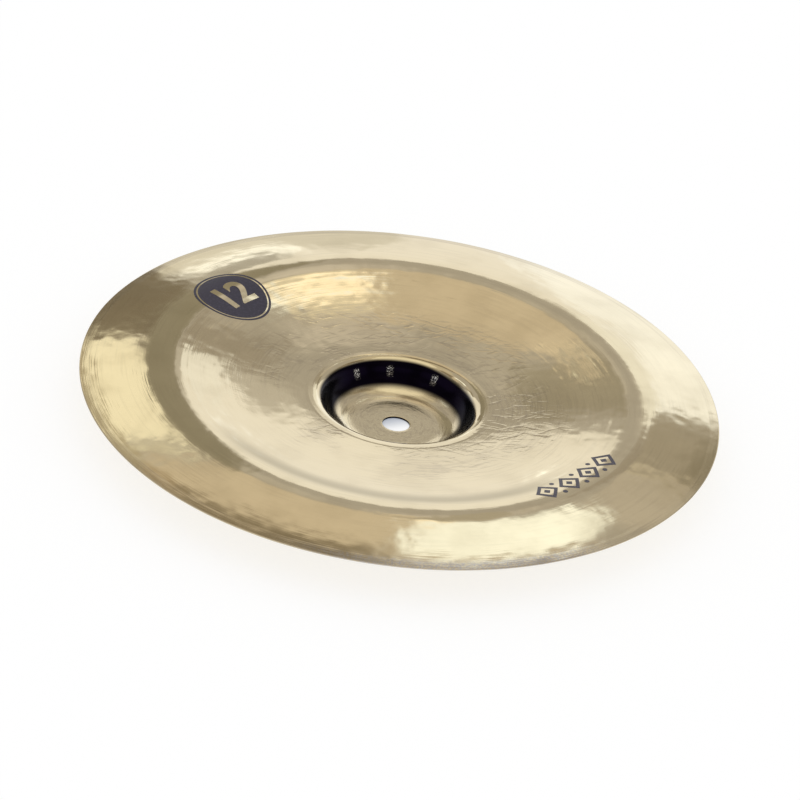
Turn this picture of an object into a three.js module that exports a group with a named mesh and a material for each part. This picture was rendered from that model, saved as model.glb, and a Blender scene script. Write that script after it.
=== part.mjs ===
// A china cymbal, one sheet of bronze, lying with its inside face up.
// Millimetres, +Z up. The origin is on the axis, on the underside of the cup's crown,
// so the cymbal rests on its crown and every height is counted from there.
//
// The sheet is turned from one section. Its inside face is a line through five corners:
// crown, mouth, foot of the bow, ridge and flange. Each corner is rounded over a reach,
// the distance from the corner to where its rounding begins and ends.

import * as THREE from 'three';

// The disc and the hole for the stand's post
const OVERALL_DIAMETER = 304.8;
const HOLE_DIAMETER = 13;

// The sheet, from the cup out to the edge
const CUP_THICKNESS = 1;
const EDGE_THICKNESS = 0.7;

// The cup, a steep-walled well with a flat crown. Its wall leans in from the mouth.
const CUP_MOUTH_DIAMETER = 74.4;
const CUP_WALL_LEAN = 6.4;
const CUP_DEPTH = 13.7;
const SHOULDER_REACH = 12;
const LIP_REACH = 5;

// The bow, which leaves the cup nearly level and steepens towards the ridge
const FOOT_DIAMETER = 134;
const FOOT_RISE = 1.6;
const FOOT_REACH = 24;
const BOW_RISE = 8.9;

// The ridge and the flange turned back from it, which steepens towards the edge
const RIDGE_DIAMETER = 224.6;
const BEND_REACH = 8.8;
const FLANGE_DIAMETER = 271;
const FLANGE_DROP = 2.9;
const FLANGE_REACH = 15;
const EDGE_DROP = 3.4;

// How finely the roundings and the circle are divided
const SEGMENTS_ROUND = 72;
const SHOULDER_STEPS = 7;
const LIP_STEPS = 5;
const FOOT_STEPS = 6;
const BEND_STEPS = 6;
const FLANGE_STEPS = 4;

const mouthRadius = CUP_MOUTH_DIAMETER / 2;
const edgeRadius = OVERALL_DIAMETER / 2;

// A corner of the inside face: its distance from the axis, its height and its rounding
function corner(radius, height, reach, steps) {
  return { point: new THREE.Vector2(radius, height), reach, steps };
}

// The inside face's corners, from the hole out to the edge
function insideCorners() {
  const mouthHeight = CUP_THICKNESS + CUP_DEPTH;
  const footHeight = mouthHeight + FOOT_RISE;
  const ridgeHeight = footHeight + BOW_RISE;
  const flangeHeight = ridgeHeight - FLANGE_DROP;
  return [
    corner(HOLE_DIAMETER / 2, CUP_THICKNESS, 0, 0),
    corner(mouthRadius - CUP_WALL_LEAN, CUP_THICKNESS, SHOULDER_REACH, SHOULDER_STEPS),
    corner(mouthRadius, mouthHeight, LIP_REACH, LIP_STEPS),
    corner(FOOT_DIAMETER / 2, footHeight, FOOT_REACH, FOOT_STEPS),
    corner(RIDGE_DIAMETER / 2, ridgeHeight, BEND_REACH, BEND_STEPS),
    corner(FLANGE_DIAMETER / 2, flangeHeight, FLANGE_REACH, FLANGE_STEPS),
    corner(edgeRadius, flangeHeight - EDGE_DROP, 0, 0),
  ];
}

// Where a corner's rounding meets the straight towards its neighbour. Two roundings that
// would run into each other share the straight in proportion.
function roundingEnd(from, towards) {
  const length = from.point.distanceTo(towards.point);
  const wanted = from.reach + towards.reach;
  const reach = from.reach * Math.min(1, length / wanted);
  return from.point.clone().lerp(towards.point, reach / length);
}

// The inside face, with each corner rounded by a curve that leaves both straights smoothly
function insideFace() {
  const corners = insideCorners();
  const points = [];
  corners.forEach((current, index) => {
    if (current.steps === 0) {
      points.push(current.point);
      return;
    }
    const start = roundingEnd(current, corners[index - 1]);
    const end = roundingEnd(current, corners[index + 1]);
    const rounding = new THREE.QuadraticBezierCurve(start, current.point, end);
    points.push(...rounding.getPoints(current.steps));
  });
  return points;
}

// The sheet keeps one thickness in the cup and thins evenly from its mouth to the edge
function thicknessAt(radius) {
  const share = Math.max((radius - mouthRadius) / (edgeRadius - mouthRadius), 0);
  return CUP_THICKNESS + (EDGE_THICKNESS - CUP_THICKNESS) * share;
}

// The outside face lies one sheet thickness from the inside face, square to it
function outsidePoint(points, index) {
  const before = points[Math.max(index - 1, 0)];
  const after = points[Math.min(index + 1, points.length - 1)];
  const along = after.clone().sub(before).normalize();
  const point = points[index];
  const thickness = thicknessAt(point.x);
  return new THREE.Vector2(point.x + along.y * thickness, point.y - along.x * thickness);
}

// The closed section of the sheet: out along the outside face, then in along the inside face
function sheetSection() {
  const inside = insideFace();
  const outside = inside.map((point, index) => outsidePoint(inside, index));
  return [...outside, ...inside.reverse(), outside[0].clone()];
}

// A lathe turns about Y, so the turned sheet is tipped up to stand on Z
function turnedSheet() {
  const geometry = new THREE.LatheGeometry(sheetSection(), SEGMENTS_ROUND);
  return geometry.rotateX(Math.PI / 2);
}

const bronze = new THREE.MeshStandardMaterial({ color: 0xc2a86f, roughness: 0.18, metalness: 1 });

const cymbal = new THREE.Mesh(turnedSheet(), bronze);
cymbal.name = 'cymbal';

const object = new THREE.Group();
object.add(cymbal);

export default object;
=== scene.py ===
"""A china cymbal of brilliant hammered bronze, lying inside face up in a plain pale studio."""

import bisect
import math
import random

import bmesh
import bpy
from mathutils import Matrix, Vector, kdtree, noise


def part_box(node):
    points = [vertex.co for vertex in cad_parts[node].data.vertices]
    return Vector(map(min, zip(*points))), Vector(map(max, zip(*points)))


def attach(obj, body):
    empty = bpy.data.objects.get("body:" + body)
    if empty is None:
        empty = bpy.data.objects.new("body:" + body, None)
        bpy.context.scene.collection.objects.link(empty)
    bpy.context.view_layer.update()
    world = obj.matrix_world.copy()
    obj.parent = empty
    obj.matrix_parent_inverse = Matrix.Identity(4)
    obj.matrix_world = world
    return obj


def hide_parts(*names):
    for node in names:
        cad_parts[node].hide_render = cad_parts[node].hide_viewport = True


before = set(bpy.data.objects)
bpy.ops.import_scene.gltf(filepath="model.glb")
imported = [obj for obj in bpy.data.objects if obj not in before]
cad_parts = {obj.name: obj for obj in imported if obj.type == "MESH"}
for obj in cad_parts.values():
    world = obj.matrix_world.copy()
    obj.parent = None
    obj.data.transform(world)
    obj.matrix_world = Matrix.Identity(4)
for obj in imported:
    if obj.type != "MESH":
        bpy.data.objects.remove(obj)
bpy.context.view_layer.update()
SHEET_LOW, SHEET_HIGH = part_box("cymbal")

bl_info = {
    "name": "China Cymbal",
    "version": (1, 0, 0),
    "blender": (4, 5, 0),
    "location": "View3D > Sidebar > Cymbal",
    "description": "Builds a hammered and lathed china cymbal and the studio round it",
    "category": "Add Mesh",
}

MM = 0.001

# The picture's width, and the place of the rim's centre in it, in pixels
PICTURE_WIDTH = 800
RIM_CENTRE_X = 400.44
RIM_CENTRE_Y = 391.62


def length_setting(name, description, default):
    return bpy.props.FloatProperty(name=name, description=description, default=default, unit="LENGTH")


def angle_setting(name, description, default):
    default = math.radians(default)
    return bpy.props.FloatProperty(name=name, description=description, default=default, subtype="ANGLE")


def share_setting(name, description, default):
    return bpy.props.FloatProperty(name=name, description=description, default=default, min=0, max=1)


def colour_setting(name, description, default):
    return bpy.props.FloatVectorProperty(
        name=name, description=description, default=default, subtype="COLOR", size=3, min=0, max=1
    )


class CymbalShape(bpy.types.PropertyGroup):
    """Sizes of the bronze sheet, the same as the solid's where both have them."""

    overall_diameter: length_setting("Overall diameter", "Across the edge", SHEET_HIGH.x - SHEET_LOW.x)
    hole_diameter: length_setting("Hole diameter", "The centre hole for the stand's post", 13 * MM)
    cup_thickness: length_setting("Cup thickness", "Thickness of the sheet in the cup", 1 * MM)
    edge_thickness: length_setting("Edge thickness", "Thickness of the sheet at the edge", 0.7 * MM)
    mouth_diameter: length_setting("Cup mouth", "Across the corner of cup wall and bow", 74.4 * MM)
    wall_lean: length_setting("Wall lean", "How far the cup's wall leans in from the mouth", 6.4 * MM)
    cup_depth: length_setting("Cup depth", "From the mouth down to the crown", 13.7 * MM)
    shoulder_reach: length_setting("Shoulder reach", "Rounding between crown and wall", 12 * MM)
    lip_reach: length_setting("Lip reach", "Rounding between wall and bow", 5 * MM)
    foot_diameter: length_setting("Foot diameter", "Across the corner where the bow steepens", 134 * MM)
    foot_rise: length_setting("Foot rise", "From the mouth up to the foot", 1.6 * MM)
    foot_reach: length_setting("Foot reach", "Rounding at the foot", 24 * MM)
    bow_rise: length_setting("Bow rise", "From the foot up to the ridge's corner", 8.9 * MM)
    ridge_diameter: length_setting("Ridge diameter", "Across the bend of bow and flange", 224.6 * MM)
    bend_reach: length_setting("Bend reach", "Rounding at the ridge", 8.8 * MM)
    flange_diameter: length_setting("Flange diameter", "Across the corner in the flange", 271 * MM)
    flange_drop: length_setting("Flange drop", "From the ridge's corner down to it", 2.9 * MM)
    flange_reach: length_setting("Flange reach", "Rounding in the flange", 15 * MM)
    edge_drop: length_setting("Edge drop", "From the flange's corner down to the edge", 3.4 * MM)
    rim_rounding: length_setting("Rim rounding", "Rounding of the sheet's bare edges", 0.2 * MM)


class CymbalWork(bpy.types.PropertyGroup):
    """What hammer and lathe left on the sheet."""

    mark_spacing: length_setting("Mark spacing", "From one hammer mark to the next", 8.5 * MM)
    mark_width: length_setting("Mark width", "Half the width of a hammer mark", 6 * MM)
    mark_depth: length_setting("Mark depth", "Depth of a hammer mark", 0.03 * MM)
    fine_spacing: length_setting("Fine mark spacing", "From one small mark to the next", 5.4 * MM)
    fine_width: length_setting("Fine mark width", "Half the width of a small mark", 3.6 * MM)
    fine_depth: length_setting("Fine mark depth", "Depth of a small mark", 0.016 * MM)
    warp_length: length_setting("Warp length", "Size of the sheet's slow waves", 34 * MM)
    warp_height: length_setting("Warp height", "Height of the sheet's slow waves", 0.06 * MM)
    groove_height: length_setting("Groove height", "Height of the lathe's fine grooves", 0.011 * MM)
    stroke_height: length_setting("Stroke height", "Height of the strokes round the cup", 0.022 * MM)
    dimple_height: length_setting("Dimple height", "Height of the finest unevenness", 0.016 * MM)


class CymbalFinish(bpy.types.PropertyGroup):
    """Colours and polish of the bronze and of the printed marks."""

    bronze: colour_setting("Bronze", "Polished bronze", (0.82, 0.71, 0.49))
    worn: colour_setting("Worn bronze", "Bronze where the polish is thinner", (0.745, 0.64, 0.435))
    # Painted shade: the cup's wall is painted near black in place of the dark reflection it shows
    wall_shade_colour: colour_setting("Painted wall shade", "The cup's wall, which the wheel misses", (0.004, 0.0025, 0.007))
    # A darker line on the near part of the bow's outer ring
    near_dark_line: colour_setting("Near dark line", "The line rubbed into the bow's outer part", (0.53, 0.455, 0.305))
    # Painted highlights: small whitish glints painted on the cup's dark wall
    glint_colour: colour_setting("Painted glint", "The scuffs on the cup's wall", (0.85, 0.84, 0.84))
    dulled: colour_setting("Dulled", "The brushed part of the edge", (0.52, 0.488, 0.462))
    # The edge's band in this colour is partly lathe lines and partly painted shade
    rim: colour_setting("Rim", "The band at the edge and the turned lines", (0.6, 0.515, 0.365))
    roughness: share_setting("Roughness", "How much the polish scatters a reflection", 0.075)
    ink: colour_setting("Badge ink", "The round badge", (0.024, 0.019, 0.042))
    border_ink: colour_setting("Border ink", "The printed border", (0.06, 0.052, 0.07))


class PrintedMarks(bpy.types.PropertyGroup):
    """The round badge and the border printed on the inside face."""

    badge_diameter: length_setting("Badge diameter", "Across the badge", 38 * MM)
    badge_distance: length_setting("Badge distance", "From the axis to the badge", 105 * MM)
    badge_angle: angle_setting("Badge angle", "Where the badge is", 145)
    border_distance: length_setting("Border distance", "From the axis to the border", 108 * MM)
    border_angle: angle_setting("Border angle", "Where the border's middle is", -36)
    lozenge_spacing: length_setting("Lozenge spacing", "From one lozenge to the next", 14.2 * MM)
    lozenge_reach: length_setting("Lozenge reach", "From a lozenge's middle to its corners", 6.6 * MM)
    lozenge_line: length_setting("Lozenge line", "Width of a lozenge's outline", 1.7 * MM)
    small_reach: length_setting("Small reach", "The same for the small lozenge in it", 1.9 * MM)
    dot_radius: length_setting("Dot radius", "Half the width of a dot", 1.2 * MM)
    dot_offset: length_setting("Dot offset", "From the border's middle line to a dot", 4.6 * MM)
    ink_height: length_setting("Ink height", "How far the ink stands on the bronze", 0.03 * MM)


class StudioSettings(bpy.types.PropertyGroup):
    """Where the camera stands."""

    camera_distance: length_setting("Camera distance", "From the rim's centre", 2590.8 * MM)
    camera_elevation: angle_setting("Camera elevation", "Above the rim's plane", 30.81)
    camera_roll: angle_setting("Camera roll", "Turn about the line of sight", 7.915)
    lens: bpy.props.FloatProperty(name="Lens", description="Focal length in millimetres", default=246.36)


class Field:
    """A value that changes over a surface: a socket that can be used in a sum."""

    def __init__(self, graph, socket):
        self.graph = graph
        self.socket = socket

    def combined(self, operation, *values):
        node = self.graph.node("ShaderNodeMath", {"operation": operation}, dict(enumerate(values)))
        return Field(self.graph, node.outputs[0])

    def __add__(self, other):
        return self.combined("ADD", self, other)

    __radd__ = __add__

    def __sub__(self, other):
        return self.combined("SUBTRACT", self, other)

    def __rsub__(self, other):
        return self.combined("SUBTRACT", other, self)

    def __mul__(self, other):
        return self.combined("MULTIPLY", self, other)

    __rmul__ = __mul__

    def __truediv__(self, other):
        return self.combined("DIVIDE", self, other)

    def __pow__(self, other):
        return self.combined("POWER", self, other)

    def __neg__(self):
        return 0 - self


class Graph:
    """The node tree of one material or world, empty at the start."""

    def __init__(self, owner):
        owner.use_nodes = True
        self.tree = owner.node_tree
        self.tree.nodes.clear()

    def node(self, kind, settings=None, sockets=None):
        """Adds a node: its settings first, then the values or links of its sockets."""
        node = self.tree.nodes.new(kind)
        for name, value in (settings or {}).items():
            setattr(node, name, value)
        for name, value in (sockets or {}).items():
            if isinstance(value, Field):
                self.tree.links.new(value.socket, node.inputs[name])
            else:
                node.inputs[name].default_value = value
        return node

    def field(self, kind, output, settings=None, sockets=None):
        return Field(self, self.node(kind, settings, sockets).outputs[output])

    def smooth_step(self, value, low, high):
        """0 below low, 1 above high and smooth between them."""
        sockets = {"Value": value, "From Min": low, "From Max": high}
        return self.field("ShaderNodeMapRange", 0, {"interpolation_type": "SMOOTHSTEP"}, sockets)

    def vector(self, x, y, z):
        return self.field("ShaderNodeCombineXYZ", 0, None, {"X": x, "Y": y, "Z": z})

    def clouds(self, place, scale, detail=2):
        sockets = {"Vector": place, "Scale": scale, "Detail": detail}
        return self.field("ShaderNodeTexNoise", 0, None, sockets)

    def mixed_colour(self, share, first, second):
        sockets = {0: share, 6: first, 7: second}
        return self.field("ShaderNodeMix", 2, {"data_type": "RGBA"}, sockets)

    def parts(self, vector):
        """The x, y and z of a vector."""
        node = self.node("ShaderNodeSeparateXYZ", sockets={0: vector})
        return [Field(self, output) for output in node.outputs]

    def places(self):
        """A point's place, the three parts of it and its distance from the axis."""
        place = self.field("ShaderNodeTexCoord", "Object")
        x, y, z = self.parts(place)
        return place, x, y, z, (x * x + y * y) ** 0.5

    def seen_rays(self):
        """1 for what the camera sees, also in a mirror or through glass, and 0 for other light."""
        path = self.node("ShaderNodeLightPath")
        rays = ("Is Camera Ray", "Is Glossy Ray", "Is Transmission Ray")
        return sum((Field(self, path.outputs[ray]) for ray in rays), start=0)

    def finish(self, shader, kind="ShaderNodeOutputMaterial"):
        output = self.node(kind)
        self.tree.links.new(shader.outputs[0], output.inputs["Surface"])


def settings_of(name):
    return getattr(bpy.context.scene, name)


def rounding_end(point, reach, next_point, next_reach):
    """Where a corner's rounding meets the straight towards its neighbour."""
    length = (next_point - point).length
    shared = reach * min(1, length / (reach + next_reach))
    return point.lerp(next_point, shared / length)


ROUNDING_STEPS = 200


def rounded_line(corners):
    """A line through corners, each a point and the reach of its rounding."""
    line = [corners[0][0]]
    for before, (point, reach), after in zip(corners, corners[1:], corners[2:]):
        start = rounding_end(point, reach, *before)
        end = rounding_end(point, reach, *after)
        for step in range(ROUNDING_STEPS + 1):
            share = step / ROUNDING_STEPS
            line.append(start.lerp(point, share).lerp(point.lerp(end, share), share))
    line.append(corners[-1][0])
    return line


# Turned rings of the inside face: distance from the axis, half width and height
TURNED_RINGS = (
    (9.4 * MM, 0.6 * MM, 0.006 * MM),
    (12.0 * MM, 0.6 * MM, -0.006 * MM),
    (14.6 * MM, 0.6 * MM, 0.007 * MM),
    (17.5 * MM, 0.7 * MM, 0.014 * MM),
    (20.6 * MM, 0.6 * MM, -0.012 * MM),
    (23.6 * MM, 0.8 * MM, -0.030 * MM),
    (43.6 * MM, 0.7 * MM, 0.050 * MM),
    (59.0 * MM, 0.6 * MM, -0.012 * MM),
    (81.5 * MM, 0.7 * MM, -0.007 * MM),
    (88.4 * MM, 0.8 * MM, -0.004 * MM),
    (91.4 * MM, 0.7 * MM, -0.003 * MM),
    (101.0 * MM, 1.6 * MM, 0.012 * MM),
    (105.2 * MM, 1.6 * MM, 0.008 * MM),
    (148.2 * MM, 0.5 * MM, -0.012 * MM),
    (150.2 * MM, 0.5 * MM, 0.005 * MM),
)

# The hammer works the sheet from the cup's lip outwards
HAMMERED_FROM = 41 * MM
HAMMERED_FULLY = 52 * MM

# Each mark differs: how far it may lie from its even place, as shares of a step round and of the
# spacing outwards, and the least and most of its width and depth as shares of the usual ones
SCATTER_ROUND_SHARE = 0.3
SCATTER_OUT_SHARE = 0.35
MARK_WIDTH_SHARES = (0.6, 1.25)
MARK_DEPTH_SHARES = (0.2, 1.6)
SEED = 12

# The waves are counted down from this value of the noise, so that none stands above the solid
WARP_TOP = 1.2

# Half the width over which the section's slope is taken
SLOPE_STEP = 0.05 * MM

# The step from one of the mesh's stations to the next, as a share of the usual one: at a turned
# ring, and at the most for the last step, which ends at the edge
RING_STEP_SHARE = 0.4
LAST_STEP_SHARE = 1.4


class Sheet:
    """The bronze sheet: its turned section, and the marks of the hammer."""

    def __init__(self):
        sizes = settings_of("cymbal_shape")
        self.sizes = sizes
        self.work = settings_of("cymbal_work")
        self.hole = sizes.hole_diameter / 2
        self.mouth = sizes.mouth_diameter / 2
        self.edge = sizes.overall_diameter / 2
        crown_height = sizes.cup_thickness
        mouth_height = crown_height + sizes.cup_depth
        foot_height = mouth_height + sizes.foot_rise
        ridge_height = foot_height + sizes.bow_rise
        flange_height = ridge_height - sizes.flange_drop
        corners = (
            (Vector((self.hole, crown_height)), 0),
            (Vector((self.mouth - sizes.wall_lean, crown_height)), sizes.shoulder_reach),
            (Vector((self.mouth, mouth_height)), sizes.lip_reach),
            (Vector((sizes.foot_diameter / 2, foot_height)), sizes.foot_reach),
            (Vector((sizes.ridge_diameter / 2, ridge_height)), sizes.bend_reach),
            (Vector((sizes.flange_diameter / 2, flange_height)), sizes.flange_reach),
            (Vector((self.edge, flange_height - sizes.edge_drop)), 0),
        )
        self.radii, self.heights = zip(*rounded_line(corners))
        self.set_hammer_marks()

    def smooth_height(self, radius):
        """Height of the inside face without rings and hammer marks."""
        after = min(max(bisect.bisect_left(self.radii, radius), 1), len(self.radii) - 1)
        low, high = self.radii[after - 1], self.radii[after]
        share = (radius - low) / (high - low) if high > low else 0
        return self.heights[after - 1] + (self.heights[after] - self.heights[after - 1]) * share

    def slope(self, radius):
        low, high = max(radius - SLOPE_STEP, self.hole), min(radius + SLOPE_STEP, self.edge)
        return (self.smooth_height(high) - self.smooth_height(low)) / (high - low)

    def thickness(self, radius):
        share = max((radius - self.mouth) / (self.edge - self.mouth), 0)
        return self.sizes.cup_thickness + (self.sizes.edge_thickness - self.sizes.cup_thickness) * share

    def rings(self, radius):
        """Height of the turned rings at a distance from the axis."""
        total = 0
        for place, half_width, height in TURNED_RINGS:
            share = abs(radius - place) / half_width
            if share < 1:
                total += height * (1 + math.cos(math.pi * share)) / 2
        return total

    def stations(self, gap):
        """Distances from the axis, a gap apart along the sheet and closer at the turned rings."""
        radii = [self.hole]
        while True:
            radius = radii[-1]
            ring_near = any(abs(radius - place) < width + gap for place, width, _ in TURNED_RINGS)
            step = gap * (RING_STEP_SHARE if ring_near else 1) / math.hypot(1, self.slope(radius))
            if radius + LAST_STEP_SHARE * step > self.edge:
                return radii + [self.edge]
            radii.append(radius + step)

    def set_hammer_marks(self):
        """Places large and small hammer marks in rings, from the cup's lip out to the edge."""
        work = self.work
        chance = random.Random(SEED)
        self.marks = []
        for spacing, mark_width, mark_depth in (
            (work.mark_spacing, work.mark_width, work.mark_depth),
            (work.fine_spacing, work.fine_width, work.fine_depth),
        ):
            radius = HAMMERED_FROM + spacing / 2
            while radius < self.edge + spacing / 2:
                count = round(2 * math.pi * radius / spacing)
                turn = chance.random()
                for step in range(count):
                    aside = chance.uniform(-SCATTER_ROUND_SHARE, SCATTER_ROUND_SHARE)
                    angle = 2 * math.pi * (step + turn + aside) / count
                    outwards = chance.uniform(-SCATTER_OUT_SHARE, SCATTER_OUT_SHARE)
                    distance = radius + outwards * spacing
                    place = (distance * math.cos(angle), distance * math.sin(angle), 0)
                    width = mark_width * chance.uniform(*MARK_WIDTH_SHARES)
                    depth = mark_depth * chance.uniform(*MARK_DEPTH_SHARES)
                    self.marks.append((place, width, depth))
                radius += spacing
        self.mark_tree = kdtree.KDTree(len(self.marks))
        for index, (place, _, _) in enumerate(self.marks):
            self.mark_tree.insert(place, index)
        self.mark_tree.balance()
        self.widest_mark = max(width for _, width, _ in self.marks)

    def hammered(self, x, y):
        """Height that hammer and bending left at a place: marks and slow waves."""
        reach = math.hypot(x, y)
        share = min(max((reach - HAMMERED_FROM) / (HAMMERED_FULLY - HAMMERED_FROM), 0), 1)
        if share == 0:
            return 0
        total = 0
        for _, index, distance in self.mark_tree.find_range((x, y, 0), self.widest_mark):
            _, width, depth = self.marks[index]
            if distance < width:
                total -= depth * (1 - (distance / width) ** 2) ** 2
        warp = noise.noise(Vector((x, y, 0)) / self.work.warp_length) - WARP_TOP
        return share * share * (3 - 2 * share) * (total + self.work.warp_height * warp)

    def inside(self, x, y):
        """Height of the finished inside face at a place."""
        radius = math.hypot(x, y)
        return self.smooth_height(radius) + self.rings(radius) + self.hammered(x, y)

    def inside_point(self, radius):
        return Vector((radius, 0, self.smooth_height(radius) + self.rings(radius)))

    def outside_point(self, radius):
        slope = self.slope(radius)
        square = Vector((slope, 0, -1)) / math.hypot(1, slope)
        return Vector((radius, 0, self.smooth_height(radius))) + square * self.thickness(radius)


# How finely the sheet is divided, along its section inside and outside and round the axis, and
# how near each other two points are that become one
INSIDE_GAP = 1.35 * MM
OUTSIDE_GAP = 4 * MM
WEDGES = 12
STEPS_IN_WEDGE = 33
MERGE_DISTANCE = 0.001 * MM


def spin_about_axis(bm, geometry, angle, steps, **options):
    middle, axis = (0, 0, 0), (0, 0, 1)
    bmesh.ops.spin(bm, geom=geometry, cent=middle, axis=axis, angle=angle, steps=steps, **options)


def new_object(name, bm):
    mesh = bpy.data.meshes.new(name)
    bm.to_mesh(mesh)
    bm.free()
    piece = bpy.data.objects.new(name, mesh)
    bpy.context.scene.collection.objects.link(piece)
    return piece


# Where highlights are painted bright on the dark wall of the cup, in degrees round the axis
GLINT_ANGLES = (129, 100.5, 64)

# The finish changes on the way out from the axis: where each change begins and where it ends
CUP_FLOOR_ENDS = (28 * MM, 33 * MM)
LIP_BEGINS = (34 * MM, 36 * MM)
DIMPLES_BEGIN = (34 * MM, 38 * MM)
LIP_ENDS = (39 * MM, 41.5 * MM)
STROKES_BEGIN = (40 * MM, 45 * MM)
STROKES_END = (64 * MM, 88 * MM)
NEAR_LINE_BEGINS = (92 * MM, 100.4 * MM)
NEAR_LINE_ENDS = (101 * MM, 107.5 * MM)
BRUSHED_BEGINS = (145 * MM, 150.5 * MM)
EDGE_BAND_BEGINS = (147.2 * MM, 148.4 * MM)
BARE_EDGE_BEGINS = (151.9 * MM, 152.3 * MM)

# The changes on the way up the cup's wall
LIP_UNSHADED_BEGINS = (6 * MM, 10 * MM)
GLINTS_BEGIN = (6.5 * MM, 8.5 * MM)
GLINTS_END = (10.5 * MM, 12 * MM)

# The changes round the axis, as shares of the whole way to the right, left or near side or to a painted
# highlight
LIP_UNSHADED_RIGHT_SHARES = (0.1, 0.8)
NEAR_LINE_SHARES = (0.5, 0.85)
BRUSHED_NEAR_SHARES = (0.68, 0.87)
BRUSHED_RIGHT_SHARES = (-0.4, -0.05)
BRIGHT_RIGHT_SHARES = (0.35, 0.8)
BRIGHT_LEFT_SHARES = (0.75, 0.93)
BRIGHT_NEAR_SHARES = (-0.35, -0.1)
GLINT_WIDTH_SHARES = (0.9984, 0.9997)

# How far the wall faces inwards where its painted shade begins, and where it is full
WALL_SHADE_BEGINS = (0.42, 0.66)

# Patches: the noise's scale and detail, and the values at which a patch begins and is full
GROOVED_PATCHES = (38, 2, 0.42, 0.62)
STROKED_PATCHES = (22, 2, 0.38, 0.55)
WORN_PATCHES = (45, 3, 0.4, 0.75)
BRUSHED_SPECKLE = (1100, 2, 0.38, 0.62)
GLINT_SPECKLE = (2600, 3, 0.5, 0.75)

# Streaks of the lathe: the noise's scale round the axis, and their spacing on the way out
GROOVES = (5, 0.9 * MM)
FINE_GROOVES = (9, 0.45 * MM)
DRAWN_LINES = (4, 1.3 * MM)

# The crossed strokes round the cup: their leans in degrees, their length and their spacing
STROKE_LEANS = (-14, 7, 38)
STROKE_LENGTH = 10 * MM
STROKE_SPACING = 2.1 * MM

# The noise's scale for the dimples and for the finest unevenness
DIMPLE_SCALE = 230
UNEVEN_SCALE = 160


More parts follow.
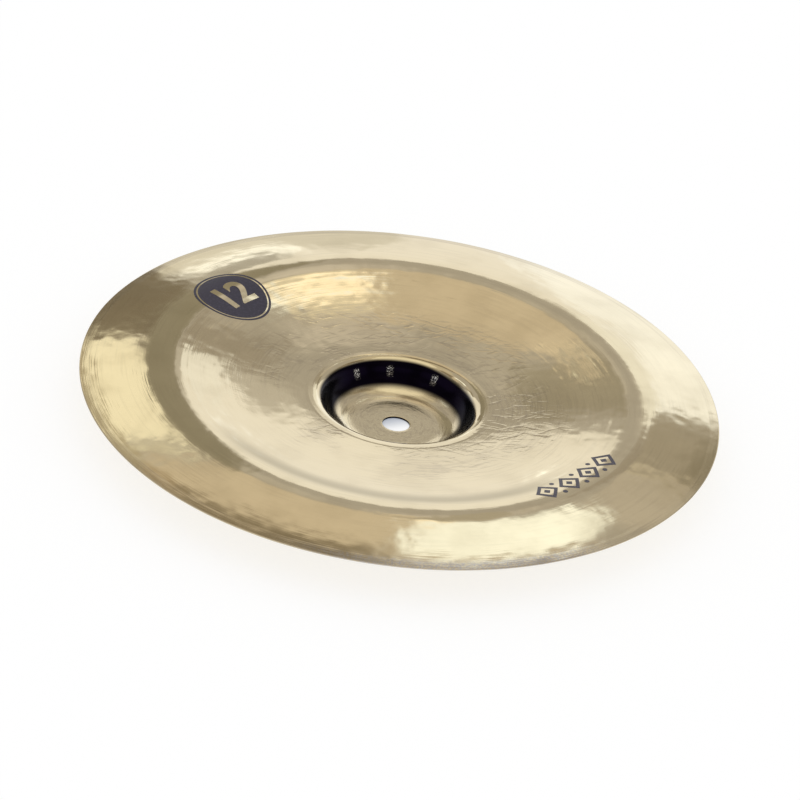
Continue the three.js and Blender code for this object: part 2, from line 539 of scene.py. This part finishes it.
class BronzeGraph(Graph):
    """The bronze's node tree, which knows where on the sheet a point is."""

    def __init__(self, owner):
        super().__init__(owner)
        self.place, self.x, self.y, self.z, self.radius = self.places()
        self.round_x, self.round_y = self.x / self.radius, self.y / self.radius
        self.edge_band = self.smooth_step(self.radius, *EDGE_BAND_BEGINS)
        self.floor_band = 1 - self.smooth_step(self.radius, *CUP_FLOOR_ENDS)
        self.grooved = self.patches(*GROOVED_PATCHES) + self.edge_band + 2 * self.floor_band
        self.crossed = self.ring(STROKES_BEGIN, STROKES_END) * self.patches(*STROKED_PATCHES)
        self.strokes = sum((self.stroke(lean) for lean in STROKE_LEANS), start=0)

    def ring(self, begins, ends):
        """1 between two circles round the axis, over which it fades."""
        return self.smooth_step(self.radius, *begins) - self.smooth_step(self.radius, *ends)

    def patches(self, scale, detail, low, high):
        return self.smooth_step(self.clouds(self.place, scale, detail), low, high)

    def streaks(self, scale, spacing):
        """Noise drawn out round the axis."""
        drawn_out = self.vector(scale * self.round_x, scale * self.round_y, self.radius / spacing)
        return self.clouds(drawn_out, 1, 1)

    def stroke(self, lean):
        """Straight strokes that all run one way, a lean off the X axis."""
        cosine, sine = math.cos(math.radians(lean)), math.sin(math.radians(lean))
        along = (self.x * cosine + self.y * sine) / STROKE_LENGTH
        across = (self.y * cosine - self.x * sine) / STROKE_SPACING
        drawn_out = self.vector(along, across, self.z / STROKE_LENGTH + lean)
        return self.smooth_step(self.clouds(drawn_out, 1, 1), 0.55, 0.75)

    def relief(self):
        """The finest marks, as a normal: lathe grooves, crossed strokes and dimples."""
        work = settings_of("cymbal_work")
        grooves = self.streaks(*GROOVES) + 0.5 * self.streaks(*FINE_GROOVES)
        sockets = {"Vector": self.place, "Scale": DIMPLE_SCALE, "Smoothness": 0.8}
        dimples = self.field("ShaderNodeTexVoronoi", "Distance", {"feature": "SMOOTH_F1"}, sockets)
        uneven = dimples + 0.6 * self.clouds(self.place, UNEVEN_SCALE, 3)
        worked = self.smooth_step(self.radius, *DIMPLES_BEGIN) + 1.6 * self.ring(LIP_BEGINS, LIP_ENDS)
        height = work.groove_height * (0.25 + self.grooved) * grooves
        height = height + work.stroke_height * self.crossed * self.strokes
        height = height + work.dimple_height * worked * uneven
        return self.field("ShaderNodeBump", 0, None, {"Strength": 1, "Distance": 1, "Height": height})

    def painted_glints(self):
        """Painted highlights, small and bright, half way up the cup's wall."""
        total = 0
        for angle in map(math.radians, GLINT_ANGLES):
            towards = self.round_x * math.cos(angle) + self.round_y * math.sin(angle)
            total = self.smooth_step(towards, *GLINT_WIDTH_SHARES) + total
        halfway_up = self.smooth_step(self.z, *GLINTS_BEGIN) - self.smooth_step(self.z, *GLINTS_END)
        return 0.8 * total * halfway_up * self.patches(*GLINT_SPECKLE)

    def painted_wall_shade(self):
        """The steep wall of the cup, where dark shade is painted, without the lip on its right side."""
        normal_x, normal_y, _ = self.parts(self.field("ShaderNodeTexCoord", "Normal"))
        inward = -(normal_x * self.round_x + normal_y * self.round_y)
        unshaded_side = self.smooth_step(self.round_x, *LIP_UNSHADED_RIGHT_SHARES)
        unshaded_lip = unshaded_side * self.smooth_step(self.z, *LIP_UNSHADED_BEGINS)
        return self.smooth_step(inward - 0.2 * unshaded_lip, *WALL_SHADE_BEGINS)

    def near_dark_line(self):
        """A darker line on the near part of the bow."""
        return self.ring(NEAR_LINE_BEGINS, NEAR_LINE_ENDS) * self.smooth_step(-self.round_y, *NEAR_LINE_SHARES)

    def brushed(self):
        """The speckled part of the edge, on the near side."""
        near = self.smooth_step(-self.round_y, *BRUSHED_NEAR_SHARES)
        right = self.smooth_step(self.round_x, *BRUSHED_RIGHT_SHARES)
        speckled = 0.25 + 0.75 * self.patches(*BRUSHED_SPECKLE)
        return self.smooth_step(self.radius, *BRUSHED_BEGINS) * near * right * speckled

    def lined(self):
        """Turned lines, the lines and painted shade of the edge's band, the bare edge and the crossed
        strokes.
        """
        # The edge's band is darkened partly as lathe lines and partly as painted shade, less on the right
        # and the near left, where the edge is lit
        bright_right = 0.8 * self.smooth_step(self.round_x, *BRIGHT_RIGHT_SHARES)
        bright_left = 0.6 * self.smooth_step(-self.round_x, *BRIGHT_LEFT_SHARES)
        bright_left = bright_left * self.smooth_step(-self.round_y, *BRIGHT_NEAR_SHARES)
        edge_lines_and_shade = 0.5 * self.edge_band * (1 - bright_right - bright_left)
        bare_edge = self.smooth_step(self.radius, *BARE_EDGE_BEGINS)
        lines = self.smooth_step(self.streaks(*DRAWN_LINES), 0.5, 0.62) * (0.15 + 0.12 * self.grooved)
        scratches = self.crossed * self.smooth_step(self.strokes, 0.15, 0.8)
        marked = edge_lines_and_shade + 0.8 * bare_edge + lines + 0.3 * scratches + 0.3 * self.crossed
        return self.smooth_step(marked, 0, 1)


def bronze_material():
    """Brilliant bronze: fine broken lathe grooves, crossed strokes round the cup, painted shade on the cup
    wall.
    """
    finish = settings_of("cymbal_finish")
    material = bpy.data.materials.new("brilliant_bronze")
    graph = BronzeGraph(material)
    worn = graph.patches(*WORN_PATCHES)
    brushed = graph.brushed()
    # Small highlights painted on the cup's wall
    painted_glints = graph.painted_glints()
    # The cup's wall painted dark as shade, leaving the painted highlights bright
    painted_wall_shade = graph.painted_wall_shade() * (1 - painted_glints)
    colour = (*finish.bronze, 1)
    for share, other in (
        (worn, finish.worn),
        (graph.lined(), finish.rim),
        (graph.near_dark_line(), finish.near_dark_line),
        (brushed, finish.dulled),
        (painted_wall_shade, finish.wall_shade_colour),
        (painted_glints, finish.glint_colour),
    ):
        colour = graph.mixed_colour(share, colour, (*other, 1))
    roughness = finish.roughness
    for share, added in (
        (worn, 0.03),
        (graph.edge_band, 0.03),
        (brushed, 0.08),
        (graph.floor_band, 0.06),
        (painted_wall_shade, 0.12),
    ):
        roughness = roughness + added * share
    sockets = {"Base Color": colour, "Metallic": 1, "Roughness": roughness, "Normal": graph.relief()}
    surface = graph.node("ShaderNodeBsdfPrincipled", sockets=sockets)
    graph.finish(surface)
    return material


class CYMBAL_OT_sheet(bpy.types.Operator):
    """Spins the hammered bronze sheet, with its cup, bow, bend and flange"""

    bl_idname = "cymbal.sheet"
    bl_label = "Bronze sheet"

    def execute(self, context):
        sheet = Sheet()
        inside = [sheet.inside_point(radius) for radius in sheet.stations(INSIDE_GAP)]
        outside = [sheet.outside_point(radius) for radius in sheet.stations(OUTSIDE_GAP)]
        bm = bmesh.new()
        ring = [bm.verts.new(point) for point in inside + outside[::-1]]
        bm.faces.new(ring)
        corners = [ring[0], ring[len(inside) - 1], ring[len(inside)], ring[-1]]
        bmesh.ops.bevel(
            bm, geom=corners, offset=sheet.sizes.rim_rounding, offset_type="OFFSET", segments=3,
            profile=0.5, affect="VERTICES", material=-1,
        )
        bmesh.ops.delete(bm, geom=bm.faces[:], context="FACES_ONLY")
        spin_about_axis(bm, bm.verts[:] + bm.edges[:], 2 * math.pi / WEDGES, STEPS_IN_WEDGE)
        wedge = bm.verts[:] + bm.edges[:] + bm.faces[:]
        other_wedges = 2 * math.pi * (WEDGES - 1) / WEDGES
        spin_about_axis(bm, wedge, other_wedges, WEDGES - 1, use_duplicate=True)
        bmesh.ops.remove_doubles(bm, verts=bm.verts, dist=MERGE_DISTANCE)
        bmesh.ops.recalc_face_normals(bm, faces=bm.faces)
        for vertex in bm.verts:
            vertex.co.z += sheet.hammered(vertex.co.x, vertex.co.y)
        piece = new_object("cymbal_sheet", bm)
        piece.data.shade_smooth()
        piece.data.materials.append(bronze_material())
        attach(piece, "root")
        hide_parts("cymbal")
        return {"FINISHED"}


# Prints are cut into cells of this size, so that they follow the sheet. A point this near a cut
# counts as on it.
PRINT_CELL = 1.4 * MM
CUT_DISTANCE = 0.0001 * MM

# The ink's noise, as scale and detail, and the values at which it begins to fade and is faded
INK_NOISE = (900, 3)
INK_FADES = (0.45, 0.75)


def lay_on_sheet(bm, sheet, distance, angle, lift):
    """Lays a flat mark on the inside face. Its y points outwards and its x runs round the cymbal."""
    for across in (Vector((1, 0, 0)), Vector((0, 1, 0))):
        places = [across.dot(vertex.co) for vertex in bm.verts]
        low, high = min(places), max(places)
        for step in range(1, math.ceil((high - low) / PRINT_CELL)):
            bmesh.ops.bisect_plane(
                bm, geom=bm.verts[:] + bm.edges[:] + bm.faces[:], dist=CUT_DISTANCE,
                plane_co=across * (low + step * PRINT_CELL), plane_no=across,
            )
    for vertex in bm.verts:
        radius = distance + vertex.co.y
        turn = angle - vertex.co.x / distance
        x, y = radius * math.cos(turn), radius * math.sin(turn)
        vertex.co = (x, y, sheet.inside(x, y) + lift)


def print_material(name, colour):
    """Thin printed ink, a little uneven, that takes a soft shine."""
    material = bpy.data.materials.new(name)
    graph = Graph(material)
    place = graph.field("ShaderNodeTexCoord", "Object")
    uneven = graph.clouds(place, *INK_NOISE)
    faded = [min(1, 1.6 * channel + 0.01) for channel in colour]
    ink = graph.mixed_colour(graph.smooth_step(uneven, *INK_FADES), (*colour, 1), (*faded, 1))
    surface = graph.node(
        "ShaderNodeBsdfPrincipled", sockets={"Base Color": ink, "Roughness": 0.32 + 0.12 * uneven}
    )
    graph.finish(surface)
    return material


def printed(name, bm, material):
    bmesh.ops.recalc_face_normals(bm, faces=bm.faces)
    piece = new_object(name, bm)
    piece.data.shade_smooth()
    piece.data.materials.append(material)
    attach(piece, "root")


# How many corners a printed form has
BADGE_CORNERS = 72
LOZENGE_CORNERS = 4
DOT_CORNERS = 20


def flat_form(bm, radius, corners, x=0, y=0):
    place = Matrix.Translation((x, y, 0))
    made = bmesh.ops.create_circle(bm, cap_ends=True, segments=corners, radius=radius, matrix=place)
    return made["verts"][0].link_faces[0]


def outline(bm, radius, corners, line, x=0):
    """The same form, of which only a line along its edge is left."""
    face = flat_form(bm, radius, corners, x)
    bmesh.ops.inset_individual(bm, faces=[face], thickness=line, use_even_offset=True)
    bmesh.ops.delete(bm, geom=[face], context="FACES")


# The badge's outline, the field inside it and its number, as shares of its radius
BADGE_LINE_SHARE = 0.06
BADGE_FIELD_SHARE = 0.9
NUMBER_HEIGHT_SHARE = 1.15

# How much bolder than the plain font the number is, as a share of its height
BOLD_SHARE = 0.03


def numeral_mesh(text, height):
    """A plain number as a flat mesh, centred, with its top towards +Y."""
    data = bpy.data.curves.new("numerals", "FONT")
    data.body = text
    data.size = height
    data.align_x = "CENTER"
    data.align_y = "CENTER"
    data.offset = BOLD_SHARE * height
    data.resolution_u = 6
    holder = bpy.data.objects.new("numerals", data)
    bpy.context.scene.collection.objects.link(holder)
    bpy.context.view_layer.update()
    mesh = bpy.data.meshes.new_from_object(holder.evaluated_get(bpy.context.evaluated_depsgraph_get()))
    bpy.data.objects.remove(holder)
    bm = bmesh.new()
    bm.from_mesh(mesh)
    return bm


class CYMBAL_OT_badge(bpy.types.Operator):
    """Prints the round badge with its plain number on the ridge"""

    bl_idname = "cymbal.badge"
    bl_label = "Round badge"

    def execute(self, context):
        marks = settings_of("cymbal_marks")
        sheet = Sheet()
        where = marks.badge_distance, marks.badge_angle
        radius = marks.badge_diameter / 2
        ink = print_material("badge_ink", settings_of("cymbal_finish").ink)
        bm = bmesh.new()
        outline(bm, radius, BADGE_CORNERS, BADGE_LINE_SHARE * radius)
        flat_form(bm, BADGE_FIELD_SHARE * radius, BADGE_CORNERS)
        lay_on_sheet(bm, sheet, *where, marks.ink_height)
        printed("badge", bm, ink)
        bm = numeral_mesh("12", NUMBER_HEIGHT_SHARE * radius)
        lay_on_sheet(bm, sheet, *where, 2 * marks.ink_height)
        printed("badge_number", bm, bpy.data.materials["brilliant_bronze"])
        return {"FINISHED"}


# Places along the border, counted in lozenge spacings from its middle
LOZENGE_PLACES = (-1.5, -0.5, 0.5, 1.5)
DOT_PLACES = (-1, 0, 1)


class CYMBAL_OT_border(bpy.types.Operator):
    """Prints the short border of lozenges and dots on the bow"""

    bl_idname = "cymbal.border"
    bl_label = "Lozenge border"

    def execute(self, context):
        marks = settings_of("cymbal_marks")
        bm = bmesh.new()
        for place in LOZENGE_PLACES:
            x = place * marks.lozenge_spacing
            outline(bm, marks.lozenge_reach, LOZENGE_CORNERS, marks.lozenge_line, x)
            flat_form(bm, marks.small_reach, LOZENGE_CORNERS, x)
        for place in DOT_PLACES:
            x = place * marks.lozenge_spacing
            for y in (marks.dot_offset, -marks.dot_offset):
                flat_form(bm, marks.dot_radius, DOT_CORNERS, x, y)
        lay_on_sheet(bm, Sheet(), marks.border_distance, marks.border_angle, marks.ink_height)
        ink = print_material("border_ink", settings_of("cymbal_finish").border_ink)
        printed("border_print", bm, ink)
        return {"FINISHED"}


# Bands of the studio that run all round, at one distance in metres and in steps up and round:
# lower and upper elevation in degrees, and colour
BAND_DISTANCE = 8
BAND_STEPS_UP = 8
BAND_STEPS_ROUND = 96
BANDS = {
    "wall_band": (27.4, 59, (0.47, 0.45, 0.425)),
    "cove_band": (59, 70, (0.62, 0.57, 0.47)),
    "ceiling_band": (70, 89.5, (0.95, 0.90, 0.76)),
}

# The studio's far cards: distance in metres, the width in degrees over which the card fades out
# inside its outline, colour, and corners as azimuth from the far side towards the right and
# elevation, in degrees as the cymbal sees them
FAR_CARDS = {
    "left_panel": (6.4, 0.3, (1.08, 1.05, 0.89), (
        (-21, 24.2), (-15.2, 25.7), (-12.8, 27.6), (-12.9, 34.5), (-12.5, 36.5), (-12.5, 40.4), (-21, 40.4),
    )),
    "left_strip": (6.4, 0.2, (0.98, 0.95, 0.77), ((-20, 41), (-12, 41.2), (-12, 42.1), (-20, 41.9))),
    "left_rim_shade": (6.2, 0.6, (0.5, 0.45, 0.34), (
        (-17, 24), (-17.6, 26.5), (-18.9, 32.8), (-19.5, 39), (-18.8, 44.5), (-23, 44.5), (-23, 24),
    )),
    "dark_post": (6.8, 0.4, (0.23, 0.2, 0.155), (
        (-21, 10), (-13, 12), (-9.8, 15.5), (-8.6, 22.6), (-9.3, 26.2), (-11.6, 28.4), (-15.2, 26.2),
        (-21, 24.8),
    )),
    "low_left_light": (6.4, 0.8, (1.4, 1.46, 1.52), (
        (-11.4, 12.5), (-8, 9), (-4.4, 10), (-4.4, 15.6), (-6.4, 18.2), (-10.8, 19.2),
    )),
    "low_right_light": (7.6, 1.1, (1.15, 1.2, 1.28), (
        (2, 6), (20, 6), (20, 26), (16, 28.9), (12, 30), (9.4, 27.4), (7.5, 22), (5, 17),
    )),
    "right_streak": (6.6, 0.9, (1.02, 1.04, 1.06), (
        (6.5, 17), (9.5, 18.5), (10.6, 22), (11.2, 27.7), (10.9, 31.4), (8.4, 31.8), (7.3, 27),
    )),
    "grey_wedge": (6.8, 2.3, (0.6, 0.58, 0.55), (
        (1, 30.5), (2, 25.5), (4, 22), (6.4, 23.5), (8.6, 27.5), (9.6, 31), (5, 32.5),
    )),
    "left_wall_glow": (7.4, 1.5, (0.57, 0.545, 0.51), (
        (-8.2, 40.5), (-8.2, 33), (-6.5, 31.5), (-2.2, 31.5), (-1, 34), (-1, 41.5), (-4, 43),
    )),
    "left_wall_foot": (7.2, 0.3, (0.47, 0.45, 0.425), (
        (-9.6, 28.6), (-9.4, 25), (-7.6, 25.7), (-6.3, 26.7), (-6.1, 28.6),
    )),
    "wall_glow": (7.2, 2.8, (0.66, 0.63, 0.6), ((-2, 40), (0, 36), (6, 35), (9.5, 40), (7.5, 48), (0, 48))),
    "wall_left_shade": (7.2, 2.2, (0.39, 0.365, 0.31), (
        (-15, 28.5), (-5, 28.5), (-3, 33), (-5, 39), (-15, 42),
    )),
    "wall_right_shade": (7.2, 1.6, (0.38, 0.35, 0.31), ((5, 30.5), (13, 29.5), (13, 36.5), (5, 37.5))),
    "right_wall_glow": (7.2, 1, (0.55, 0.515, 0.47), ((11.6, 35.6), (22, 35.5), (22, 43.5), (11.6, 43.5))),
    "warm_wall": (7.2, 2.2, (0.7, 0.625, 0.515), (
        (-22, 41.7), (-12, 41.8), (-11.6, 39.6), (-8, 40.4), (-2, 42.6), (4, 43.6), (4, 56), (-22, 56),
    )),
    "warm_shade": (6.8, 0.8, (0.45, 0.37, 0.26), (
        (-22, 43.5), (-18, 43.5), (-16.5, 49), (-11, 54), (-11, 59), (-22, 59),
    )),
    "high_shade": (6.4, 3, (0.27, 0.23, 0.17), (
        (-22, 44), (-17, 46.4), (-10, 50.4), (-5, 52), (2.4, 52.6), (2.8, 66), (-22, 66),
    )),
    "right_panel": (6.2, 0.3, (1.24, 1.32, 1.36), (
        (1.8, 44.8), (2.6, 46.2), (3.4, 46.2), (6, 45.6), (10.5, 42.8), (13, 41.8), (16.4, 42.2),
        (17.6, 46), (15.6, 50.2), (10, 54.4), (1.8, 54.8),
    )),
    "right_haze": (6.8, 0.5, (0.6, 0.54, 0.47), (
        (2, 54.4), (10, 53.8), (15.5, 49.8), (17.3, 46), (21, 48), (14, 59), (2, 59),
    )),
    "right_olive": (6.8, 0.5, (0.4, 0.37, 0.32), (
        (10.8, 31), (12, 27.9), (13.9, 26.85), (16, 25.6), (21.5, 22.3), (21.5, 35), (11.6, 35.2),
    )),
    "right_rim_shade": (6.6, 2.4, (0.29, 0.265, 0.215), ((16.6, 26), (24, 24), (24, 37), (16.6, 36))),
    "right_line": (6.4, 0.4, (0.62, 0.57, 0.47), ((11.8, 35), (21, 34.8), (21, 36), (11.8, 36.2))),
}

# The near cards stand upright on the far side: distance, the width over which the card fades
# out, colour, and corners as distance to the right and height, all in metres
NEAR_CARDS = {
    "ridge_shade": (0.5, 0.016, (0.31, 0.29, 0.235), (
        (-0.06, 0.37), (-0.1, 0.47), (-0.14, 0.575), (-0.17, 0.61), (-0.229, 0.485), (-0.239, 0.378),
        (-0.233, 0.3), (-0.211, 0.235), (-0.185, 0.2), (-0.14, 0.175), (-0.09, 0.222), (-0.043, 0.252),
        (-0.052, 0.31),
    )),
    "near_ridge_shade": (0.5, 0.008, (0.47, 0.44, 0.38), (
        (0.04, 0.45), (0.08, 0.44), (0.115, 0.5), (0.128, 0.56), (0.118, 0.605), (0.075, 0.635),
        (0.02, 0.648), (0.002, 0.64), (0.03, 0.58), (0.04, 0.55),
    )),
    "ridge_light": (1.08, 0.012, (1.03, 1.05, 1.05), (
        (0.115, 0.56), (0.13, 0.58), (0.15, 0.61), (0.175, 0.635), (0.2, 0.663), (0.24, 0.668),
        (0.33, 0.645), (0.33, 0.54), (0.27, 0.43), (0.2, 0.39), (0.15, 0.44),
    )),
    "flange_shade": (1.08, 0.02, (0.5, 0.49, 0.47), (
        (-0.275, 0.4), (-0.235, 0.325), (-0.19, 0.285), (-0.143, 0.26), (-0.13, 0.34), (-0.1725, 0.4),
        (-0.225, 0.45), (-0.262, 0.47),
    )),
    "flange_haze": (1.08, 0.03, (0.81, 0.8, 0.755), (
        (-0.32, 0.1), (-0.24, 0.05), (-0.02, 0.05), (0, 0.15), (-0.03, 0.24), (-0.09, 0.275), (-0.17, 0.25),
        (-0.25, 0.33), (-0.32, 0.38),
    )),
    "bow_haze": (1.08, 0.022, (0.86, 0.8, 0.66), (
        (0.088, 0.945), (0.15, 1.05), (0.137, 1.11), (0.122, 1.16), (0.106, 1.2), (0.085, 1.24),
        (0.058, 1.265), (0.03, 1.28), (0.03, 1.075), (0.049, 1.05), (0.066, 1.015),
    )),
    "bow_light": (1.06, 0.012, (1.5, 1.36, 1.1), (
        (0.12, 1.035), (0.155, 1.04), (0.147, 1.11), (0.132, 1.165), (0.115, 1.205), (0.092, 1.245),
        (0.06, 1.272), (0.028, 1.285), (0.028, 1.185), (0.054, 1.17), (0.074, 1.145), (0.091, 1.112),
        (0.107, 1.073),
    )),
    "bow_tip": (2.4, 0.007, (0.86, 0.765, 0.61), (
        (-0.45, 2.29), (-0.446, 2.12), (-0.442, 2.02), (-0.433, 1.91), (-0.42, 1.78), (-0.392, 1.76),
        (-0.393, 1.91), (-0.398, 2.02), (-0.396, 2.12), (-0.391, 2.29),
    )),
    "panel_edge": (1.04, 0.01, (0.7, 0.625, 0.515), (
        (-0.01, 0.955), (0.035, 0.955), (0.041, 1.055), (0.055, 1.155), (0.055, 1.37), (-0.01, 1.37),
    )),
}

# The attribute that says how far a card covers what is behind it
COVER = "cover"

# A card is uneven: how dim and how bright it gets, as shares of its colour, and the noise's
# scale and detail
CARD_LIGHT_SHARES = (0.86, 1.14)
CARD_NOISE = (2.4, 3)

# The same set of cards stands at several places round the cymbal
CARD_TURNS = (0, 72, 144, 216, 288)


def card_material(name, colour):
    """A lit card with a slight unevenness, clear where its cover is 0."""
    material = bpy.data.materials.new(name)
    material.cycles.emission_sampling = "NONE"
    graph = Graph(material)
    place = graph.field("ShaderNodeTexCoord", "Object")
    dim, bright = ([share * channel for channel in colour] + [1] for share in CARD_LIGHT_SHARES)
    uneven = graph.mixed_colour(graph.clouds(place, *CARD_NOISE), dim, bright)
    glow = graph.node("ShaderNodeEmission", sockets={"Color": uneven, "Strength": 1})
    clear = graph.node("ShaderNodeBsdfTransparent")
    cover = graph.field("ShaderNodeAttribute", "Fac", {"attribute_name": COVER})
    both = graph.node("ShaderNodeMixShader", sockets={"Fac": graph.smooth_step(cover, 0, 1)})
    graph.tree.links.new(clear.outputs[0], both.inputs[1])
    graph.tree.links.new(glow.outputs[0], both.inputs[2])
    graph.finish(both)
    return material


def direction(azimuth, elevation):
    azimuth, elevation = math.radians(azimuth), math.radians(elevation)
    flat = math.cos(elevation)
    return Vector((flat * math.sin(azimuth), flat * math.cos(azimuth), math.sin(elevation)))


def set_card(name, bm, colour):
    """A card shows in the bronze and nowhere else."""
    piece = new_object(name, bm)
    piece.data.materials.append(card_material(name, colour))
    piece.visible_camera = False
    piece.visible_diffuse = False
    piece.visible_shadow = False


def band(name, low, high, colour):
    bm = bmesh.new()
    angles = [low + (high - low) * step / BAND_STEPS_UP for step in range(BAND_STEPS_UP + 1)]
    verts = [bm.verts.new(direction(0, angle) * BAND_DISTANCE) for angle in angles]
    edges = [bm.edges.new(pair) for pair in zip(verts, verts[1:])]
    spin_about_axis(bm, verts + edges, 2 * math.pi, BAND_STEPS_ROUND, use_merge=True)
    cover = bm.verts.layers.float.new(COVER)
    for vertex in bm.verts:
        vertex[cover] = 1
    set_card(name, bm, colour)


def card(name, corners, colour, fading):
    """A flat card at each turn, which fades out inside its outline."""
    bm = bmesh.new()
    for turn in CARD_TURNS:
        turned = Matrix.Rotation(-math.radians(turn), 3, "Z")
        bm.faces.new([bm.verts.new(turned @ corner) for corner in corners])
    bm.normal_update()
    middles = bm.faces[:]
    bmesh.ops.inset_individual(bm, faces=middles, thickness=fading, use_even_offset=True)
    cover = bm.verts.layers.float.new(COVER)
    for middle in middles:
        for vertex in middle.verts:
            vertex[cover] = 1
    set_card(name, bm, colour)


def aim_camera():
    """The camera looks at the rim's centre, which the shift puts where the photograph has it."""
    settings = settings_of("cymbal_studio")
    sheet = Sheet()
    target = Vector((0, 0, sheet.smooth_height(sheet.edge)))
    elevation, roll = settings.camera_elevation, settings.camera_roll
    back = Vector((0, -math.cos(elevation), math.sin(elevation)))
    level = Vector((1, 0, 0))
    upright = back.cross(level)
    right = math.cos(roll) * level + math.sin(roll) * upright
    up = math.cos(roll) * upright - math.sin(roll) * level
    data = bpy.data.cameras.new("camera")
    data.lens = settings.lens
    data.shift_x = (PICTURE_WIDTH / 2 - RIM_CENTRE_X) / PICTURE_WIDTH
    data.shift_y = (RIM_CENTRE_Y - PICTURE_WIDTH / 2) / PICTURE_WIDTH
    camera = bpy.data.objects.new("camera", data)
    turn = Matrix((right, up, back)).transposed().to_4x4()
    camera.matrix_world = Matrix.Translation(target + back * settings.camera_distance) @ turn
    bpy.context.scene.collection.objects.link(camera)
    bpy.context.scene.camera = camera


WORLD_LIGHT = 0.75
FLOOR_COLOUR = 0.4
FLOOR_RADIUS = 3

# The floor's colour under the hole's far side, where less light reaches it, where that shade
# ends on the way out, and where it deepens on the way to the far side
HOLE_SHADE = (0.3, 0.34, 0.42)
HOLE_SHADE_ENDS = (7 * MM, 9 * MM)
HOLE_SHADE_DEEPENS = (-6 * MM, 8 * MM)


def floor_material():
    """A floor that the camera sees white, with the cymbal's soft shadow on it."""
    material = bpy.data.materials.new("pale_floor")
    material.cycles.emission_sampling = "NONE"
    graph = Graph(material)
    grey = (FLOOR_COLOUR, FLOOR_COLOUR, FLOOR_COLOUR, 1)
    lit = graph.node("ShaderNodeBsdfDiffuse", sockets={"Color": grey})
    _, x, y, _, radius = graph.places()
    under_hole = 1 - graph.smooth_step(radius, *HOLE_SHADE_ENDS)
    shaded = under_hole * graph.smooth_step(y - 0.6 * x, *HOLE_SHADE_DEEPENS)
    colour = graph.mixed_colour(shaded, (1, 1, 1, 1), (*HOLE_SHADE, 1))
    strength = (1 - FLOOR_COLOUR * WORLD_LIGHT) * graph.seen_rays()
    glow = graph.node("ShaderNodeEmission", sockets={"Color": colour, "Strength": strength})
    both = graph.node("ShaderNodeAddShader")
    graph.tree.links.new(lit.outputs[0], both.inputs[0])
    graph.tree.links.new(glow.outputs[0], both.inputs[1])
    graph.finish(both)
    return material


def light_world():
    """Even white light, and a white background for the camera and for reflections."""
    world = bpy.data.worlds.new("studio")
    graph = Graph(world)
    strength = WORLD_LIGHT + (1 - WORLD_LIGHT) * graph.seen_rays()
    back = graph.node("ShaderNodeBackground", sockets={"Color": (1, 1, 1, 1), "Strength": strength})
    graph.finish(back, "ShaderNodeOutputWorld")
    bpy.context.scene.world = world


class CYMBAL_OT_studio(bpy.types.Operator):
    """Sets the pale floor, the studio's cards and light, and the camera"""

    bl_idname = "cymbal.studio"
    bl_label = "Studio"

    def execute(self, context):
        bm = bmesh.new()
        bmesh.ops.create_circle(bm, cap_ends=True, segments=64, radius=FLOOR_RADIUS)
        floor = new_object("floor", bm)
        floor.data.materials.append(floor_material())
        for name, (low, high, colour) in BANDS.items():
            band(name, low, high, colour)
        for name, (distance, fading, colour, angles) in FAR_CARDS.items():
            corners = [direction(*pair) * distance for pair in angles]
            card(name, corners, colour, math.radians(fading) * distance)
        for name, (distance, fading, colour, places) in NEAR_CARDS.items():
            corners = [Vector((across, distance, height)) for across, height in places]
            card(name, corners, colour, fading)
        light_world()
        aim_camera()
        context.scene.view_settings.view_transform = "Standard"
        return {"FINISHED"}


class CYMBAL_PT_panel(bpy.types.Panel):
    """Lists the cymbal's sizes, finish and pieces"""

    bl_idname = "CYMBAL_PT_panel"
    bl_label = "Cymbal"
    bl_space_type = "VIEW_3D"
    bl_region_type = "UI"
    bl_category = "Cymbal"

    def draw(self, context):
        for name in PROPERTY_GROUPS:
            group = settings_of(name)
            box = self.layout.box()
            for setting in group.__annotations__:
                box.prop(group, setting)
        for operator in OPERATORS:
            self.layout.operator(operator.bl_idname)


PROPERTY_GROUPS = {
    "cymbal_shape": CymbalShape,
    "cymbal_work": CymbalWork,
    "cymbal_finish": CymbalFinish,
    "cymbal_marks": PrintedMarks,
    "cymbal_studio": StudioSettings,
}
OPERATORS = (CYMBAL_OT_sheet, CYMBAL_OT_badge, CYMBAL_OT_border, CYMBAL_OT_studio)
CLASSES = (*PROPERTY_GROUPS.values(), *OPERATORS, CYMBAL_PT_panel)


def register():
    for cls in CLASSES:
        bpy.utils.register_class(cls)
    for name, group in PROPERTY_GROUPS.items():
        setattr(bpy.types.Scene, name, bpy.props.PointerProperty(type=group))


def unregister():
    for name in PROPERTY_GROUPS:
        delattr(bpy.types.Scene, name)
    for cls in reversed(CLASSES):
        bpy.utils.unregister_class(cls)


def main():
    register()
    bpy.ops.cymbal.sheet()
    bpy.ops.cymbal.badge()
    bpy.ops.cymbal.border()
    bpy.ops.cymbal.studio()


if __name__ == "__main__":
    main()
